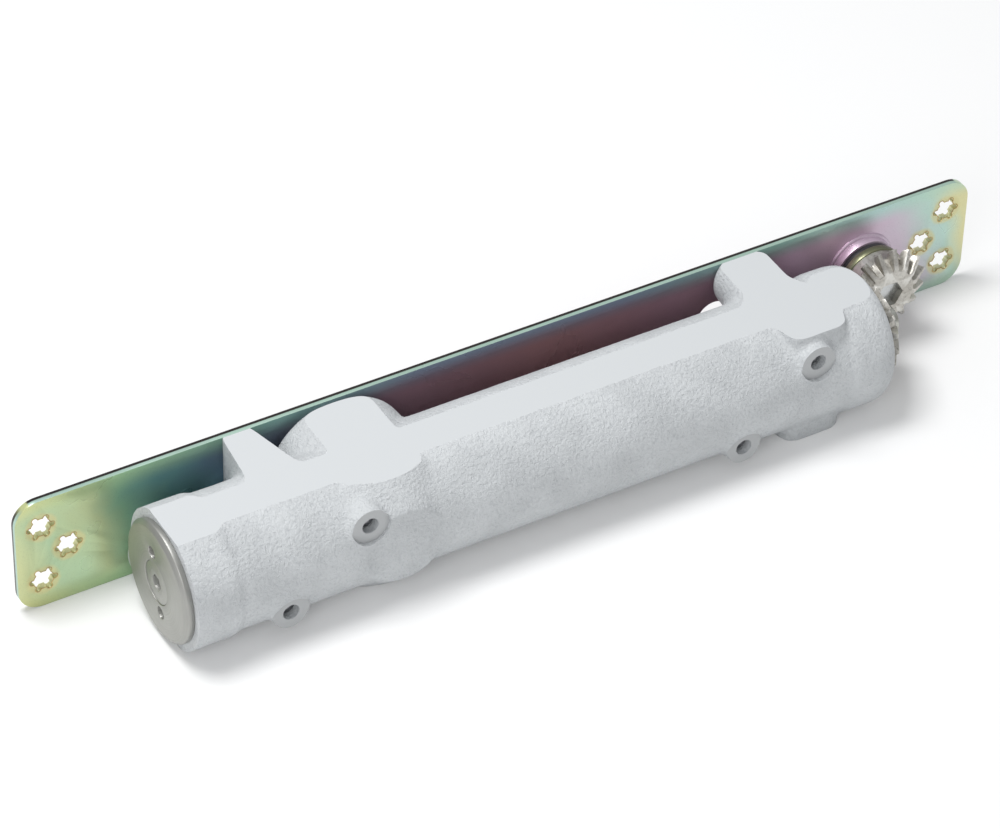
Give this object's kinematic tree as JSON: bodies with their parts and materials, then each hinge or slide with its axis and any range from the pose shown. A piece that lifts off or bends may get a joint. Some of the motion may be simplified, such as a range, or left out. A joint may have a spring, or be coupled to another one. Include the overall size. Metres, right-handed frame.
{
  "type": "concealed door closer",
  "caption": "Door closer that is let into a door leaf: spring and piston body on a long face plate, with a bevel gear pair that turns an output spindle through the plate.",
  "frame": {"origin": "centre of the face plate's outer face", "axes": "+X along the plate towards the spindle end, +Y out of the plate's outer face, +Z across the door's thickness, on the side of the upper flat"},
  "size_m": [0.344, 0.055, 0.042],
  "materials": {
    "passivated_zinc_plate": "zinc plated sheet with a many-coloured passivation",
    "passivated_zinc_flange": "zinc plated, yellow green passivation",
    "zinc_screw": "bright zinc plated",
    "painted_casting": "pale silver grey coating over a sand casting",
    "turned_steel": "turned, bare, lightly oiled",
    "seal_rubber": "moulded, matt black",
    "spring_steel": "oil-tempered spring wire",
    "valve_brass": "turned brass",
    "ball_steel": "polished bearing ball",
    "hard_steel": "hardened and ground",
    "bearing_bronze": "sintered bronze",
    "gear_steel": "pressed and sintered steel, fine pores",
    "black_steel": "black oxide",
    "black_plastic": "moulded, matt"
  },
  "bodies": {
    "closer_body": {"mounting_plate": "passivated_zinc_plate", "plate_screws": "zinc_screw", "housing": "painted_casting", "ball_plugs": "ball_steel", "end_cap": "turned_steel", "end_cap_seal": "seal_rubber", "main_spring": "spring_steel", "thrust_washer": "bearing_bronze", "inner_shaft_bush": "bearing_bronze", "outer_shaft_bush": "bearing_bronze", "shaft_seal": "seal_rubber", "bearing_retainer": "turned_steel", "spindle_bush": "bearing_bronze", "spindle_black_ring": "black_plastic", "valve_seals": "seal_rubber"},
    "spindle_set": {"spindle": "hard_steel", "upper_bevel_gear": "gear_steel", "spindle_clip": "black_steel", "spindle_flange": "passivated_zinc_flange"},
    "cam_set": {"camshaft": "hard_steel", "lower_bevel_gear": "gear_steel", "lower_gear_washer": "zinc_screw", "lower_gear_screw": "zinc_screw"},
    "piston_set": {"piston": "turned_steel", "piston_seal": "seal_rubber", "check_valve": "valve_brass", "roller_pin": "hard_steel"},
    "ball": {"check_valve_ball": "ball_steel"},
    "rear_roller": {"rear_cam_roller": "hard_steel"},
    "front_roller": {"front_cam_roller": "hard_steel"},
    "adjuster": {"adjusting_screw": "turned_steel", "adjusting_screw_seal": "seal_rubber"},
    "seat": {"spring_seat": "turned_steel"},
    "closing_valve": {"closing_valve_screw": "valve_brass"},
    "latching_valve": {"latching_valve_screw": "valve_brass"},
    "backcheck_valve": {"backcheck_valve_screw": "valve_brass"}
  },
  "joints": [
    {"name": "piston_slide", "type": "slide", "parent": "closer_body", "child": "piston_set", "axis": [-1, 0, 0], "range_m": [0, 0.024], "stiffness_N_per_m": 100, "springref_m": -0.2, "deforming": ["main_spring"]},
    {"name": "spindle_turn", "type": "hinge", "parent": "closer_body", "child": "spindle_set", "pos_m": [0.1306, 0, 0], "axis": [0, 1, 0], "range_deg": [0, 120.01]},
    {"name": "cam_turn", "type": "hinge", "parent": "closer_body", "child": "cam_set", "pos_m": [0.1306, -0.0304, 0], "axis": [1, 0, 0], "range_deg": [0, 120.01]},
    {"name": "rear_roller_spin", "type": "hinge", "parent": "piston_set", "child": "rear_roller", "pos_m": [0.042, -0.0304, 0], "axis": [0, 1, 0], "range_deg": [-471, 0]},
    {"name": "front_roller_spin", "type": "hinge", "parent": "piston_set", "child": "front_roller", "pos_m": [0.042, -0.0304, 0], "axis": [0, 1, 0], "range_deg": [0, 471]},
    {"name": "check_ball_lift", "type": "slide", "parent": "piston_set", "child": "ball", "axis": [1, 0, 0], "range_m": [0, 0.0008]},
    {"name": "seat_slide", "type": "slide", "parent": "closer_body", "child": "seat", "axis": [1, 0, 0], "range_m": [0, 0.0075], "deforming": ["main_spring"]},
    {"name": "adjuster_turn", "type": "hinge", "parent": "closer_body", "child": "adjuster", "pos_m": [-0.139, -0.0304, 0], "axis": [1, 0, 0], "range_deg": [0, 1800.1]},
    {"name": "closing_valve_turn", "type": "hinge", "parent": "closer_body", "child": "closing_valve", "pos_m": [-0.073, -0.004, 0], "axis": [0, 1, 0], "range_deg": [-360, 360]},
    {"name": "latching_valve_turn", "type": "hinge", "parent": "closer_body", "child": "latching_valve", "pos_m": [-0.057, -0.004, 0], "axis": [0, 1, 0], "range_deg": [-360, 360]},
    {"name": "backcheck_valve_turn", "type": "hinge", "parent": "closer_body", "child": "backcheck_valve", "pos_m": [0.0745, -0.01, 0], "axis": [0, 1, 0], "range_deg": [-360, 360]}
  ],
  "couplings": [
    {"joint": "spindle_turn", "follows": "piston_slide", "rad_per_m": 87.266},
    {"joint": "cam_turn", "follows": "piston_slide", "rad_per_m": 87.266},
    {"joint": "rear_roller_spin", "follows": "piston_slide", "rad_per_m": -342.04},
    {"joint": "front_roller_spin", "follows": "piston_slide", "rad_per_m": 342.04},
    {"joint": "adjuster_turn", "follows": "seat_slide", "rad_per_m": 4188.8}
  ]
}
